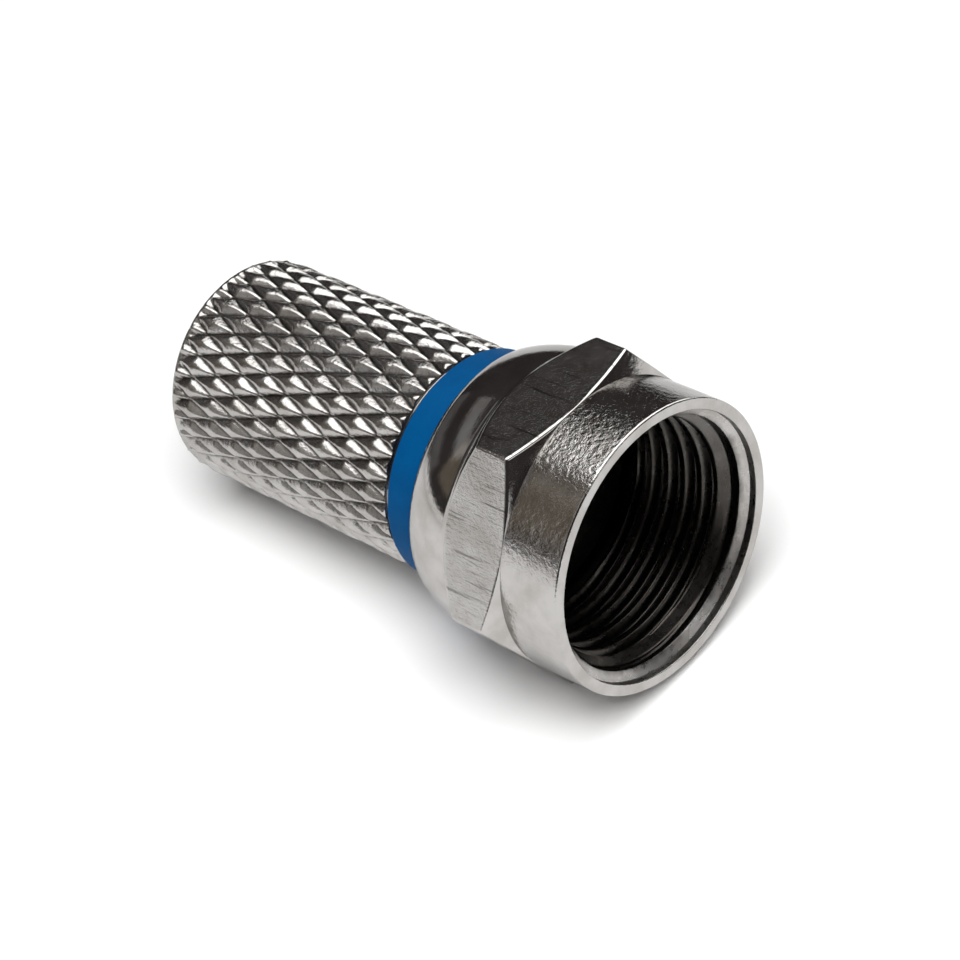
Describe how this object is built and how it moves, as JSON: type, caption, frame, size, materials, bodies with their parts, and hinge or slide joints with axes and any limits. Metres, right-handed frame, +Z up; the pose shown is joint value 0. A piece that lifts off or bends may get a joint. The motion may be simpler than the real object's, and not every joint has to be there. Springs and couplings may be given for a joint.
{
  "type": "f connector",
  "caption": "Twist-on coaxial plug: a free-turning hexagon nut, a coloured ring and a diamond-knurled sleeve that screws onto a cable's jacket.",
  "frame": {"origin": "on the axis, where the dielectric bore opens in the flange's front face, which is the plane that meets the mating socket", "axes": "+X along the axis and out of the nut's mouth, +Z up, with one flat of the hexagon facing straight down (-Z)"},
  "size_m": [0.0208, 0.0128, 0.011],
  "materials": {
    "nut_plating": "bright nickel plating",
    "sleeve_plating": "bright nickel plating over a diamond knurl",
    "ring_plastic": "smooth blue plastic"
  },
  "bodies": {
    "sleeve_body": {"sleeve": "sleeve_plating", "colour_ring": "ring_plastic"},
    "nut_body": {"coupling_nut": "nut_plating"}
  },
  "joints": [
    {"name": "nut_swivel", "type": "hinge", "parent": "sleeve_body", "child": "nut_body", "pos_m": [-0.00145, 0, 0], "axis": [1, 0, 0], "continuous": true}
  ]
}
